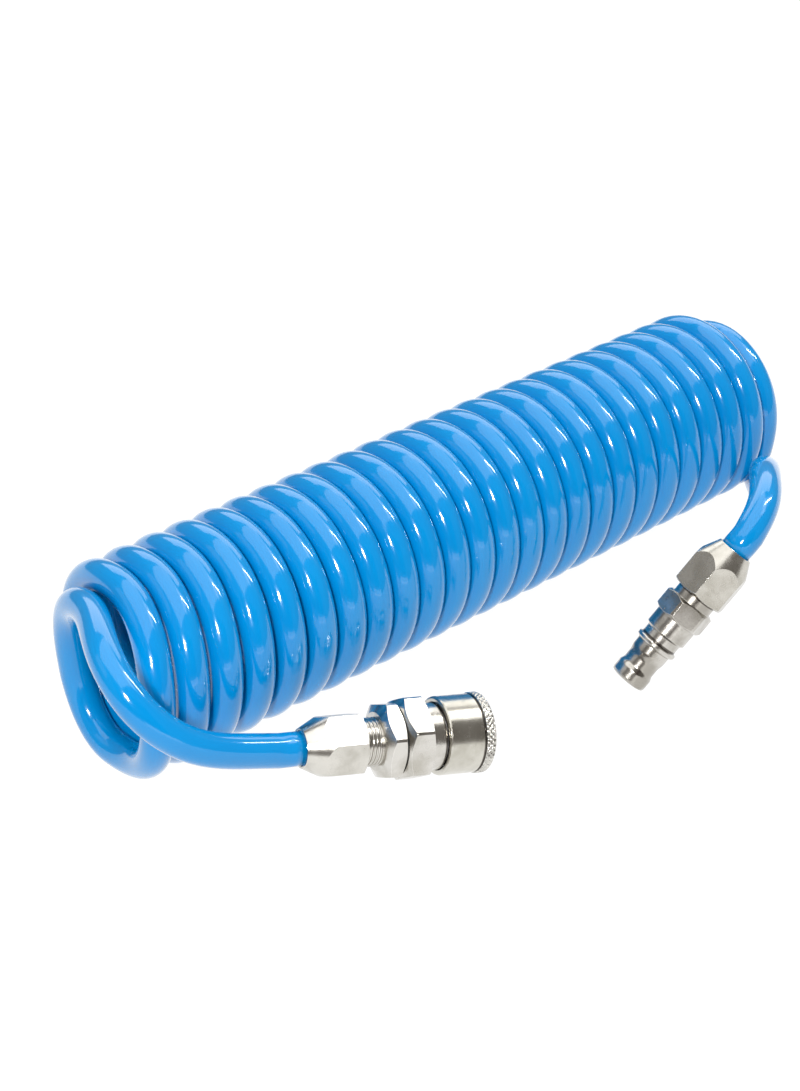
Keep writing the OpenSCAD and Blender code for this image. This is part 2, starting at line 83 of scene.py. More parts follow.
mm = 0.001
hose_radius = 6 * mm
coil_radius = 33 * mm
end_turn_radius = 31 * mm
first_turn_depth = 24 * mm
first_turn_shift = 3 * mm
front_lean = 7 * mm
coil_turns = 24
turn_pitch = 12.5 * mm
end_turn_pitch = 11.6 * mm
open_turns = 6
open_rate = 0.055 * mm
coil_start_x = -151.1 * mm
coil_axis_y = 35.4 * mm
socket_face = (-118.1, -27.4, 25.9)
socket_dip, socket_heading = 10.3, -18.5
plug_face = (56.7, -64.6, 50.35)
plug_dip, plug_heading = 47.4, 162.4
socket_route = [
    (-125.6, -25.1, 27.3), (-136.1, -23.6, 31.8), (-147.1, -22.6, 35.8), (-157.1, -21.6, 42),
    (-165.6, -17.6, 49), (-171.1, -11.6, 57.5), (-173.1, -4.1, 65), (-171.1, 5.4, 69.3),
    (-166.6, 15.9, 69.9), (-161.1, 25.4, 69.4),
]
plug_route = [
    (159.4, 55.9, 56.5), (165.4, 60.9, 36), (173.4, 47.9, 18), (173.4, 26.4, 9),
    (159.4, 7.4, 6), (152.4, -0.6, 8.5), (144.9, -7.6, 13), (137.9, -13.6, 19.5),
    (130.9, -18.6, 27), (124.4, -23.1, 34.5), (117.4, -27.6, 42.5), (110.4, -32.6, 49.5),
    (102.9, -38.1, 55.5), (94.9, -44.6, 60), (86.4, -52.1, 61.5), (78.4, -59.6, 62),
    (69.4, -64.6, 60.5), (61.4, -66.1, 55.5),
]


def fitting_axis(dip, heading):
    """The way a fitting points: down by dip and round by heading from +X."""
    dip, heading = math.radians(dip), math.radians(heading)
    return Vector((
        math.cos(dip) * math.cos(heading), math.cos(dip) * math.sin(heading), -math.sin(dip)
    ))


def coil_x(turns):
    """How far along the coil a turn lies: the first ones stand apart and lean to the start."""
    opened = open_turns ** 2 - max(open_turns - turns, 0) ** 2
    leaning = max(1 - turns / open_turns, 0) * max(math.sin(2 * math.pi * turns), 0) ** 2
    return coil_start_x + turn_pitch * turns + open_rate * opened - front_lean * leaning


def on_turn(x, radius, turns, depth=None):
    """A point on a turn that lies on the floor; turns counts from its lowest point."""
    angle = 2 * math.pi * turns
    middle_z = radius + hose_radius
    return Vector((
        x, coil_axis_y - (depth or radius) * math.sin(angle),
        middle_z - radius * math.cos(angle),
    ))


def flowing_through(points, first_way, last_way, step):
    """Points a step apart on a smooth curve through the given points."""
    gaps = [(b - a).length for a, b in zip(points, points[1:])]
    ways = [first_way.normalized()]
    for i in range(1, len(points) - 1):
        before = (points[i] - points[i - 1]) / gaps[i - 1]
        after = (points[i + 1] - points[i]) / gaps[i]
        ways.append((before * gaps[i] + after * gaps[i - 1]) / (gaps[i] + gaps[i - 1]))
    ways.append(last_way.normalized())
    line = []
    for i, gap in enumerate(gaps):
        count = max(1, round(gap / step))
        for j in range(count):
            t = j / count
            line.append(
                (2 * t ** 3 - 3 * t ** 2 + 1) * points[i]
                + (t ** 3 - 2 * t ** 2 + t) * gap * ways[i]
                + (3 * t ** 2 - 2 * t ** 3) * points[i + 1]
                + (t ** 3 - t ** 2) * gap * ways[i + 1]
            )
    return line + [points[-1]]


def eased(line, passes, held):
    """Lets the bends of a line even out, as a stiff hose does, with its ends held."""
    for _ in range(passes):
        line = line[:held] + [
            (line[i - 1] + 2 * line[i] + line[i + 1]) / 4
            for i in range(held, len(line) - held)
        ] + line[-held:]
    return line


rings_per_turn = 60
hose_sides = 32
easing_passes, held_points = 12, 3
socket_end = Vector(socket_face) * mm
plug_end = Vector(plug_face) * mm
first_half = []
for t in (i / rings_per_turn - 0.5 for i in range(rings_per_turn // 2)):
    forward = first_turn_shift * math.sin(2 * math.pi * t) ** 2
    first_half.append(on_turn(
        coil_start_x + end_turn_pitch * t + forward, end_turn_radius, t, first_turn_depth
    ))
coil = [
    on_turn(coil_x(i / rings_per_turn), coil_radius, i / rings_per_turn)
    for i in range(coil_turns * rings_per_turn + 1)
]
last_half = [
    on_turn(coil_x(coil_turns + t), end_turn_radius, t)
    for t in (i / rings_per_turn for i in range(1, rings_per_turn // 2 + 1))
]
hose_step = 3.4 * mm
to_socket = flowing_through(
    [socket_end] + [Vector(p) * mm for p in socket_route] + [first_half[0]],
    -fitting_axis(socket_dip, socket_heading), first_half[1] - first_half[0], hose_step,
)
to_plug = flowing_through(
    [last_half[-1]] + [Vector(p) * mm for p in plug_route] + [plug_end],
    last_half[-1] - last_half[-2], fitting_axis(plug_dip, plug_heading), hose_step,
)
hose_line = to_socket[:-1] + first_half + coil + last_half + to_plug[1:]
socket_span = len(to_socket) + rings_per_turn // 3
plug_span = len(to_plug) + rings_per_turn // 3
hose_line = (
    eased(hose_line[:socket_span], easing_passes, held_points)
    + hose_line[socket_span:-plug_span]
    + eased(hose_line[-plug_span:], easing_passes, held_points)
)


def tube_mesh(name, line, radius, sides):
    """A closed tube along a line, with its length and its way round kept as a UV map."""
    count = len(line)
    ways = [(line[min(i + 1, count - 1)] - line[max(i - 1, 0)]).normalized() for i in range(count)]
    side = ways[0].orthogonal().normalized()
    verts, run, runs = [], 0.0, []
    for i, (point, way) in enumerate(zip(line, ways)):
        side = (side - side.dot(way) * way).normalized()
        other = way.cross(side)
        run += (point - line[i - 1]).length if i else 0.0
        runs.append(run)
        for k in range(sides):
            angle = 2 * math.pi * k / sides
            verts.append(point + radius * (math.cos(angle) * side + math.sin(angle) * other))
    faces, uvs = [], []
    for i in range(count - 1):
        for k in range(sides):
            m = (k + 1) % sides
            faces.append((i * sides + k, i * sides + m, (i + 1) * sides + m, (i + 1) * sides + k))
            uvs += [(runs[i], k / sides), (runs[i], (k + 1) / sides),
                    (runs[i + 1], (k + 1) / sides), (runs[i + 1], k / sides)]
    last = (count - 1) * sides
    faces.append(tuple(reversed(range(sides))))
    faces.append(tuple(range(last, last + sides)))
    uvs += [(0.0, 0.0)] * sides + [(run, 0.0)] * sides
    mesh = bpy.data.meshes.new(name)
    mesh.from_pydata(verts, [], faces)
    layer = mesh.uv_layers.new(name="along_and_round")
    for loop, uv in zip(layer.data, uvs):
        loop.uv = uv
    mesh.polygons.foreach_set("use_smooth", [True] * len(mesh.polygons))
    mesh.update()
    return mesh, run


class Wire:
    """One value in a tree of nodes: sums and products of wires add their own Math nodes."""

    def __init__(self, graph, socket):
        self.graph, self.socket = graph, socket

    def maths(self, operation, *values):
        return self.graph.node("ShaderNodeMath", {"operation": operation}, values)

    def __add__(self, other):
        return self.maths("ADD", self, other)

    def __mul__(self, other):
        return self.maths("MULTIPLY", self, other)

    def __sub__(self, other):
        return self.maths("SUBTRACT", self, other)

    def __rsub__(self, other):
        return self.maths("SUBTRACT", other, self)

    def __truediv__(self, other):
        return self.maths("DIVIDE", self, other)

    __radd__ = __add__
    __rmul__ = __mul__

    def between(self, low, high):
        """0 below low, 1 above high and a smooth step from one to the other."""
        return self.graph.node(
            "ShaderNodeMapRange", {"interpolation_type": "SMOOTHSTEP"}, (self, low, high)
        )


class Graph:
    """A tree of nodes that is written one node at a time."""

    def __init__(self, tree):
        self.tree = tree

    def node(self, kind, settings=None, values=(), output=0):
        made = self.tree.nodes.new(kind)
        for key, value in (settings or {}).items():
            setattr(made, key, value)
        pairs = values.items() if isinstance(values, dict) else enumerate(values)
        for key, value in pairs:
            if isinstance(value, Wire):
                self.tree.links.new(value.socket, made.inputs[key])
            elif value is not None:
                made.inputs[key].default_value = value
        return Wire(self, made.outputs[output])


class Finish(Graph):
    """A material made of one shader and the nodes that feed it."""

    def __init__(self, name, **constants):
        self.material = bpy.data.materials.new(name)
        self.material.use_nodes = True
        super().__init__(self.material.node_tree)
        self.shader = self.tree.nodes["Principled BSDF"]
        for socket, value in constants.items():
            self.shader.inputs[socket.replace("_", " ")].default_value = value

    def place(self):
        return self.node("ShaderNodeTexCoord", output="Object")

    def noise(self, scale, detail=2.0, vector=None):
        return self.node("ShaderNodeTexNoise", {}, {
            "Vector": vector or self.place(), "Scale": scale, "Detail": detail,
        }, "Fac")

    def blend(self, share, first, second):
        return self.node("ShaderNodeMix", {"data_type": "RGBA"}, {0: share, 6: first, 7: second}, 2)

    def bump(self, height, strength, distance, normal=None):
        return self.node("ShaderNodeBump", {}, {
            "Height": height, "Strength": strength, "Distance": distance, "Normal": normal,
        })

    def feed(self, socket, wire):
        self.tree.links.new(wire.socket, self.shader.inputs[socket])


# Extruded polyurethane: even colour with faint flow lines, a wavy skin and rubbed patches.
blue_hose = Finish(
    "blue_hose", IOR=1.45, Specular_IOR_Level=0.25, Coat_Weight=0.8, Coat_Roughness=0.03
)
round_and_along = blue_hose.node("ShaderNodeUVMap", {"uv_map": "along_and_round"})
flow_stretch = (6, 14, 1)
flow = blue_hose.node("ShaderNodeMapping", {}, {0: round_and_along, 3: flow_stretch})
flow_lines = blue_hose.noise(5, 3, flow)
skin = blue_hose.noise(330, 2)
clouds = blue_hose.noise(45, 3)
rubbed = blue_hose.noise(140, 5).between(0.6, 0.74)
blue_hose.feed("Base Color", blue_hose.blend(
    clouds * 0.6 + flow_lines * 0.4, (0.0, 0.195, 0.51, 1), (0.0, 0.25, 0.58, 1)
))
blue_hose.feed("Roughness", 0.12 + 0.07 * clouds + 0.12 * rubbed)
blue_hose.feed("Normal", blue_hose.bump(skin * 0.7 + flow_lines * 0.3, 0.10, 0.0003))

hose_mesh, hose_length = tube_mesh("hose", hose_line, hose_radius, hose_sides)
hose = bpy.data.objects.new("hose", hose_mesh)
bpy.context.collection.objects.link(hose)
hose_mesh.materials.append(blue_hose.material)
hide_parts("hose_coil", "hose_tail_socket", "hose_tail_plug")
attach(hose, "hose_with_fittings")

# ---- Hose ends ----------------------------------------------------------------------------
# The last 13 mm of the hose at each end, pushed over a barb that swells it by half a
# millimetre. The union nut hides all of it but the ring where the hose goes in.

swell_start, swell_end, clamp_length = 6, 10, 13.5
bore_radius, barb_bore_radius, hose_swell = 4, 5.2, 0.6
barb_bore_start, end_step = 3.5, 0.5


def fitting_pose(face, dip, heading):
    """From millimetres along a fitting's own axis to its place in the model."""
    return (
        Matrix.Translation(Vector(face) * mm)
        @ Matrix.Rotation(math.radians(heading), 4, "Z")
        @ Matrix.Rotation(math.radians(90 + dip), 4, "Y")
        @ Matrix.Scale(mm, 4)
    )


socket_pose = fitting_pose(socket_face, socket_dip, socket_heading)
plug_pose = fitting_pose(plug_face, plug_dip, plug_heading)


def turned_piece(name, outline, pose, material, sides=72):
    """A ring turned from an outline of radius and distance along the fitting's axis."""
    shape = bmesh.new()
    rows = [[
        shape.verts.new(pose @ Vector((
            r * math.cos(2 * math.pi * k / sides), r * math.sin(2 * math.pi * k / sides), z
        ))) for k in range(sides)
    ] for r, z in outline]
    for i, row in enumerate(rows):
        after = rows[(i + 1) % len(rows)]
        for k in range(sides):
            m = (k + 1) % sides
            shape.faces.new((row[k], row[m], after[m], after[k]))
    bmesh.ops.recalc_face_normals(shape, faces=shape.faces)
    mesh = bpy.data.meshes.new(name)
    shape.to_mesh(mesh)
    shape.free()
    mesh.polygons.foreach_set("use_smooth", [True] * len(mesh.polygons))
    mesh.materials.append(material)
    piece = bpy.data.objects.new(name, mesh)
    bpy.context.collection.objects.link(piece)
    return piece


def eased_step(z, low, high):
    """0 below low, 1 above high and a smooth step between them."""
    t = min(max((z - low) / (high - low), 0), 1)
    return t * t * (3 - 2 * t)


end_stations = [end_step * i for i in range(int(clamp_length / end_step) + 1)]
end_outline = [
    (hose_radius / mm + hose_swell * eased_step(z, swell_start, swell_end), z)
    for z in end_stations
] + [
    (bore_radius + (barb_bore_radius - bore_radius) * eased_step(z, barb_bore_start, swell_end), z)
    for z in reversed(end_stations)
]
for name, pose in (("hose_end_socket", socket_pose), ("hose_end_plug", plug_pose)):
    hose_end = turned_piece(name + "_over_barb", end_outline, pose, blue_hose.material)
    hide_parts(name)
    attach(hose_end, "hose_with_fittings")

# ---- Union nuts ---------------------------------------------------------------------------
# Two hexagon nuts milled from 20 mm brass bar, with a long cone turned at the hose end, then
# nickel-plated. Each screws onto its fitting's thread and presses the hose onto the barb.


def plated(name, pose, light, dark, roughness, lines, grain, painted_shade_bands=(), edge=0.0003, painted_shade_attribute=None):
    """Nickel plate over turned brass: cutter lines, grain, rubbed edges also lightened as a painted
    highlight, and painted shade in grooves, gaps and knurl hollows.
    """
    finish = Finish(name, Metallic=1.0)
    way = pose.to_3x3() @ Vector((0, 0, 1))
    along = finish.node(
        "ShaderNodeVectorMath", {"operation": "DOT_PRODUCT"},
        {0: finish.place(), 1: way.normalized()}, "Value"
    )
    cutter = finish.node("ShaderNodeTexNoise", {"noise_dimensions": "1D"}, {
        "W": along, "Scale": 5200, "Detail": 3,
    }, "Fac")
    speckle = finish.noise(1700, 3)
    stain = finish.noise(95, 4)
    smear = finish.noise(380, 5).between(0.5, 0.72)
    rounded = finish.node("ShaderNodeBevel", {"samples": 6}, {"Radius": edge})
    flat = finish.node("ShaderNodeNewGeometry", output="Normal")
    # Rounded edges are polished smoother by wear and lightened to pale cream as a painted
    # highlight.
    edge_wear_and_highlight = (1 - finish.node(
        "ShaderNodeVectorMath", {"operation": "DOT_PRODUCT"}, {0: rounded, 1: flat}, "Value"
    )).between(0.004, 0.12)
    body_colour = finish.blend(stain.between(0.38, 0.68), light, dark)
    speckled = finish.blend(speckle.between(0.62, 0.8) * grain, body_colour, dark)
    colour = finish.blend(edge_wear_and_highlight * 0.6, speckled, (0.93, 0.91, 0.87, 1))
    start = way.normalized().dot(pose.to_translation())
    # Painted shade: near-black bands over the given grooves and gaps, where shade falls.
    for low, high in painted_shade_bands:
        inside = along.between(start + (low - 0.25) * mm, start + low * mm) * (
            1 - along.between(start + high * mm, start + (high + 0.25) * mm)
        )
        colour = finish.blend(inside * 0.85, colour, (0.05, 0.04, 0.032, 1))
    if painted_shade_attribute:
        # Painted shade: the knurl's hollows are darkened by their stored height.
        height = finish.node("ShaderNodeAttribute", {"attribute_name": painted_shade_attribute}, output="Fac")
        colour = finish.blend(0.9 - height.between(0.15, 0.9) * 0.9, colour, (0.04, 0.036, 0.03, 1))
    finish.feed("Base Color", colour)
    finish.feed("Roughness", roughness + 0.09 * speckle * grain + 0.07 * smear - 0.05 * edge_wear_and_highlight)
    finish.feed("Normal", finish.bump(
        cutter * lines + speckle * grain, 0.22, 0.00003, rounded
    ))
    return finish.material


def coat(names, material):
    """Gives CAD nodes a material, in place of the plain one they came with."""
    for node_name in names:
        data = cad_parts[node_name].data
        data.materials.clear()
        data.materials.append(material)


nut_light, nut_dark = (0.68, 0.66, 0.61, 1), (0.52, 0.50, 0.45, 1)
coat(["socket_nut"], plated("coupler_nut_plate", socket_pose, nut_light, nut_dark, 0.17, 0.5, 0.8))
# The plug's nut has darker colours than the coupler's nut, as painted shade.
coat(["plug_nut"], plated(
    "plug_nut_plate", plug_pose, (0.58, 0.56, 0.51, 1), (0.44, 0.42, 0.37, 1), 0.2, 0.5, 1.0
))

# ---- Adapter ------------------------------------------------------------------------------
# A brass piece with a barb for the hose, a thread that the union nut runs on, a 25 mm hexagon
# and a spigot that screws into the coupler. The last turns of its thread stay in sight.

thread_radius = 8.0
thread_start, thread_end = 21.6, 27.3
thread_pitch, thread_height = 1.4, 0.45
thread_inset = 0.3


class Recipe(Graph):
    """Geometry Nodes with named sizes that make one plain mesh."""

    def __init__(self, name, sizes):
        super().__init__(bpy.data.node_groups.new(name, "GeometryNodeTree"))
        given = self.tree.nodes.new("NodeGroupInput")
        self.keys, self.sizes = {}, {}
        for size, value in sizes.items():
            kind = "NodeSocketInt" if isinstance(value, int) else "NodeSocketFloat"
            kind = "NodeSocketMaterial" if value is None else kind
            socket = self.tree.interface.new_socket(size, in_out="INPUT", socket_type=kind)
            if value is not None:
                socket.default_value = value
            self.keys[size] = socket.identifier
        self.tree.interface.new_socket(
            "Geometry", in_out="OUTPUT", socket_type="NodeSocketGeometry"
        )
        for size in sizes:
            self.sizes[size] = Wire(self, given.outputs[size])

    def ends_in(self, geometry):
        real = self.node("GeometryNodeRealizeInstances", {}, (geometry,))
        painted = self.node("GeometryNodeSetMaterial", {}, {
            "Geometry": real, "Material": self.sizes["finish"],
        })
        result = self.tree.nodes.new("NodeGroupOutput")
        self.tree.links.new(painted.socket, result.inputs[0])

    def made(self, name, pose, **values):
        """Runs the nodes once and keeps the result as a plain mesh in its place."""
        piece = bpy.data.objects.new(name, bpy.data.meshes.new(name + "_start"))
        bpy.context.collection.objects.link(piece)
        modifier = piece.modifiers.new("recipe", "NODES")
        modifier.node_group = self.tree
        for size, value in values.items():
            modifier[self.keys[size]] = value
        bpy.context.view_layer.update()
        run = piece.evaluated_get(bpy.context.evaluated_depsgraph_get())
        mesh = bpy.data.meshes.new_from_object(run)
        mesh.name = name
        piece.modifiers.clear()
        mesh.transform(pose)
        mesh.polygons.foreach_set("use_smooth", [True] * len(mesh.polygons))
        piece.data = mesh
        return piece


# A wire or a ridge wound round an axis, with ends that can lie flat.
winding = Recipe("winding", {
    "finish": None, "radius": 8.0, "low": 0.0, "high": 5.0, "turns": 4.0, "flat": 0.0,
    "wire": 0.5, "steps": 48, "sides": 4,
})
spiral = winding.node("GeometryNodeCurveSpiral", {}, {
    "Resolution": winding.sizes["steps"], "Rotations": winding.sizes["turns"],
    "Start Radius": winding.sizes["radius"], "End Radius": winding.sizes["radius"],
    "Height": 0.0,
})
done = winding.node("GeometryNodeSplineParameter", output="Factor") * winding.sizes["turns"]
risen = (done - winding.sizes["flat"]) / (winding.sizes["turns"] - 2.0 * winding.sizes["flat"])
risen = winding.node("ShaderNodeClamp", {}, (risen, 0.0, 1.0))
height = winding.sizes["low"] + risen * (winding.sizes["high"] - winding.sizes["low"])
lifted = winding.node("GeometryNodeSetPosition", {}, {
    "Geometry": spiral, "Offset": winding.node("ShaderNodeCombineXYZ", {}, {"Z": height}),
})
upright = winding.node("GeometryNodeSetCurveNormal", {"mode": "Z_UP"}, (lifted,))
profile = winding.node("GeometryNodeCurvePrimitiveCircle", {}, {
    "Resolution": winding.sizes["sides"], "Radius": winding.sizes["wire"],
})
winding.ends_in(winding.node("GeometryNodeCurveToMesh", {}, {
    "Curve": upright, "Profile Curve": profile, "Fill Caps": True,
}))

adapter_plate = plated(
    "adapter_plate", socket_pose, (0.68, 0.66, 0.62, 1), (0.53, 0.51, 0.46, 1), 0.18, 0.7, 0.6
)
coat(["socket_adapter"], adapter_plate)
thread = winding.made(
    "adapter_thread", socket_pose, finish=adapter_plate, radius=thread_radius,
    low=thread_start + thread_inset, high=thread_end - thread_inset,
    turns=(thread_end - thread_start - 2 * thread_inset) / thread_pitch, flat=0.0,
    wire=thread_height, steps=64, sides=4,
)
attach(thread, "hose_with_fittings")

# ---- Body gasket --------------------------------------------------------------------------
# A flat ring of black nitrile rubber, punched from sheet and nipped between the adapter's
# hexagon and the coupler's.


def rubber(name, dust):
    finish = Finish(name, IOR=1.48, Specular_IOR_Level=0.4)
    fine = finish.noise(2600, 3)
    patches = finish.noise(220, 4)
    finish.feed("Base Color", finish.blend(
        patches.between(0.45, 0.7) * dust, (0.012, 0.012, 0.013, 1), (0.06, 0.058, 0.054, 1)
    ))
    finish.feed("Roughness", 0.48 + 0.2 * patches)
    finish.feed("Normal", finish.bump(fine, 0.3, 0.00004))
    return finish.material


coat(["body_gasket"], rubber("gasket_rubber", 0.9))

# ---- Coupler body -------------------------------------------------------------------------
# The coupler's main piece, turned from 27 mm hexagon brass and plated: a hexagon, a collar
# behind the sleeve and a tube with six ball holes, which the sleeve covers.

sleeve_rear_gap = (49.3, 50.3)
# The gap behind the sleeve gets a band of painted shade.
coat(["socket_body"], plated(
    "coupler_body_plate", socket_pose, (0.66, 0.64, 0.6, 1), (0.5, 0.48, 0.43, 1), 0.2, 0.9, 0.6,
    painted_shade_bands=(sleeve_rear_gap,)
))

# ---- Valve --------------------------------------------------------------------------------
# A brass poppet with a hollow stem on the plug's side, guided by a drilled brass disc. Its
# rubber washer closes the seat, and a small steel spring holds it there.


def machined(name, pose, light, dark, roughness):
    """Bare turned metal with its cutter lines left on."""
    finish = Finish(name, Metallic=1.0)
    way = pose.to_3x3() @ Vector((0, 0, 1))
    along = finish.node(
        "ShaderNodeVectorMath", {"operation": "DOT_PRODUCT"},
        {0: finish.place(), 1: way.normalized()}, "Value"
    )
    cutter = finish.node("ShaderNodeTexNoise", {"noise_dimensions": "1D"}, {
        "W": along, "Scale": 3800, "Detail": 4,
    }, "Fac")
    tarnish = finish.noise(260, 5)
    finish.feed("Base Color", finish.blend(tarnish.between(0.35, 0.75), light, dark))
    finish.feed("Roughness", roughness + 0.12 * tarnish)
    finish.feed("Normal", finish.bump(cutter * 0.8 + tarnish * 0.2, 0.3, 0.00004))
    return finish.material


coat(["valve_guide", "valve_poppet"], machined(
    "valve_brass", socket_pose, (0.78, 0.6, 0.3, 1), (0.5, 0.34, 0.14, 1), 0.24
))
coat(["valve_seal"], rubber("valve_rubber", 0.3))
spring_steel = machined(
    "spring_steel", socket_pose, (0.6, 0.6, 0.61, 1), (0.42, 0.41, 0.4, 1), 0.26
)
guide_end, valve_head, valve_travel = 41.75, 48.2, 3.9
valve_wire_radius, wire_gap = 0.4, 0.05
valve_spring = winding.made(
    "valve_spring_wire", socket_pose, finish=spring_steel, radius=4.6,
    low=guide_end + valve_wire_radius + wire_gap, high=valve_head - valve_wire_radius - wire_gap,
    turns=3.0, flat=0.5, wire=valve_wire_radius, steps=48, sides=12,
)
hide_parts("valve_spring")
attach(valve_spring, "hose_with_fittings")
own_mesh(valve_spring)

# ---- Packing ------------------------------------------------------------------------------
# A square-cut ring of black rubber in a groove inside the coupler. It grips the plug's nose
# and keeps the air in.

coat(["plug_seal"], rubber("packing_rubber", 0.4))

# ---- Locking balls ------------------------------------------------------------------------
# Six hardened steel balls in holes round the body. The sleeve's cone holds them in, where
# they catch in the plug's waist, and lets them out when it is pulled back.

ball_steel = Finish("ball_steel", Metallic=1.0)
ball_haze = ball_steel.noise(900, 4)
ball_marks = ball_steel.noise(2400, 2).between(0.66, 0.76)
ball_steel.feed("Base Color", ball_steel.blend(
    ball_haze, (0.7, 0.7, 0.71, 1), (0.56, 0.55, 0.54, 1)
))
ball_steel.feed("Roughness", 0.1 + 0.08 * ball_haze + 0.14 * ball_marks)
ball_steel.feed("Normal", ball_steel.bump(ball_marks, 0.15, 0.00002))
coat(["locking_ball_%d" % number for number in range(1, 7)], ball_steel.material)

# ---- Release sleeve -----------------------------------------------------------------------
# A plated brass ring that slides back over the collar to let the plug go. It is turned
# smooth, with a fine groove and a band of crossed knurling rolled into its front edge.

sleeve_radius = 13.8
groove_start, band_start, band_end = 63.1, 63.9, 68.1
knurls_round, knurls_along = 46, 2.2
knurl_height = 0.34
edge_round = 1.6
band_inset, edge_trim = 0.3, 0.2
columns_per_knurl, band_rows = 16, 40
groove_bottom_lift, edge_sink = 0.12, 0.1
rear_fade, front_fade = 0.07, 0.05

sleeve_light, sleeve_dark = (0.64, 0.62, 0.56, 1), (0.5, 0.48, 0.42, 1)
# The groove before the knurled band gets a band of painted shade.
sleeve_plate = plated(
    "sleeve_plate", socket_pose, sleeve_light, sleeve_dark, 0.2, 1.2, 0.35,
    painted_shade_bands=((groove_start, band_start),)
)
# The band's plate is much lighter than the sleeve's, as a painted highlight on the knurl ridges.
band_plate = plated(
    "band_plate", socket_pose, (0.9, 0.88, 0.82, 1), (0.8, 0.78, 0.72, 1), 0.2, 0.4, 0.3,
    edge=0.00004, painted_shade_attribute="knurl_height"
)
coat(["sleeve"], sleeve_plate)

knurling = Recipe("knurled_band", {
    "finish": None, "radius": 13.8, "length": 4.2, "edge": 1.6, "height": 0.34, "round": 46.0,
    "along": 2.2, "columns": 737, "rows": 40,
})
size = knurling.sizes
sheet = knurling.node("GeometryNodeMeshGrid", {}, {
    "Size X": 1.0, "Size Y": 1.0, "Vertices X": size["columns"], "Vertices Y": size["rows"],
})
at = knurling.node("GeometryNodeInputPosition")
across, forward = (
    knurling.node("ShaderNodeSeparateXYZ", {}, (at,), side) + 0.5 for side in ("X", "Y")
)


def ridges(step):
    """0 between the helical ridges and 1 on their crests."""
    share = knurling.node("ShaderNodeMath", {"operation": "FRACT"}, (step,))
    from_middle = knurling.node("ShaderNodeMath", {"operation": "ABSOLUTE"}, (share * 2 - 1,))
    return 1 - from_middle


one_way = ridges(across * size["round"] + forward * size["along"])
past_zero = 20.0
other_way = ridges(across * size["round"] - forward * size["along"] + past_zero)
crossed = knurling.node("ShaderNodeMath", {"operation": "MAXIMUM"}, (one_way, other_way))
net = knurling.node("ShaderNodeClamp", {}, (crossed * 1.5 - 0.4, 0.0, 1.0))
rear_edge = forward.between(0.0, rear_fade)
front_edge = (1 - forward).between(0.0, front_fade)
sunk = edge_sink * (2 - rear_edge - front_edge)
standing = (net * rear_edge * front_edge + groove_bottom_lift) * size["height"] - sunk
past = (forward * size["length"] - (size["length"] - size["edge"])) / size["edge"]
past = knurling.node("ShaderNodeMath", {"operation": "MAXIMUM"}, (past, 0.0))
fall = 1 - knurling.node("ShaderNodeMath", {"operation": "SQRT"}, (1.0001 - past * past,))
ring_radius = size["radius"] - fall * size["edge"] + standing
turn = across * (2 * math.pi)
round_x = ring_radius * knurling.node("ShaderNodeMath", {"operation": "COSINE"}, (turn,))
round_y = ring_radius * knurling.node("ShaderNodeMath", {"operation": "SINE"}, (turn,))
wrapped = knurling.node("GeometryNodeSetPosition", {}, {
    "Geometry": sheet,
    "Position": knurling.node("ShaderNodeCombineXYZ", {}, {
        "X": round_x, "Y": round_y, "Z": forward * size["length"],
    }),
})
joined = knurling.node("GeometryNodeMergeByDistance", {}, {
    "Geometry": wrapped, "Distance": 0.0005,
})
# The stored knurl height lets the band's material paint shade into the hollows.
knurling.ends_in(knurling.node("GeometryNodeStoreNamedAttribute", {}, {
    "Geometry": joined, "Name": "knurl_height", "Value": net,
}))
band = knurling.made(
    "knurled_band", socket_pose @ Matrix.Translation((0, 0, band_start)), finish=band_plate,
    radius=sleeve_radius, length=band_end - band_start - band_inset,
    edge=edge_round - edge_trim, height=knurl_height, round=float(knurls_round),
    along=knurls_along, columns=columns_per_knurl * knurls_round + 1, rows=band_rows,
)
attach(band, "release_sleeve")

# ---- Sleeve spring and stop ring ----------------------------------------------------------
# A coiled steel spring inside the sleeve pushes it forward against a split steel ring, which
# sits in a groove of the body.

coat(["sleeve_stop_ring"], spring_steel)
spring_low, spring_high, sleeve_travel = 49.85, 58.15, 5
sleeve_wire_radius = 0.5
sleeve_spring = winding.made(
    "sleeve_spring_wire", socket_pose, finish=spring_steel, radius=10.6,
    low=spring_low + sleeve_wire_radius, high=spring_high - sleeve_wire_radius,
    turns=2.5, flat=0.5, wire=sleeve_wire_radius, steps=64, sides=12,
)
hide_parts("sleeve_spring")
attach(sleeve_spring, "hose_with_fittings")
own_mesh(sleeve_spring)

# ---- Plug ---------------------------------------------------------------------------------
# The other half of the coupling, turned in one piece from 18 mm hexagon brass and plated,
# with a waist behind its nose for the balls to drop into.

# The gap at the nut and the ring groove get bands of painted shade.
nut_gap, ring_groove = (21.5, 22.0), (43.3, 43.9)
# The plug's plate has darker colours than the coupler's, as painted shade.
plug_plate = plated(
    "plug_plate", plug_pose, (0.6, 0.58, 0.54, 1), (0.38, 0.36, 0.32, 1), 0.2, 1.0, 0.4,
    painted_shade_bands=(nut_gap, ring_groove)
)
coat(["plug_body"], plug_plate)

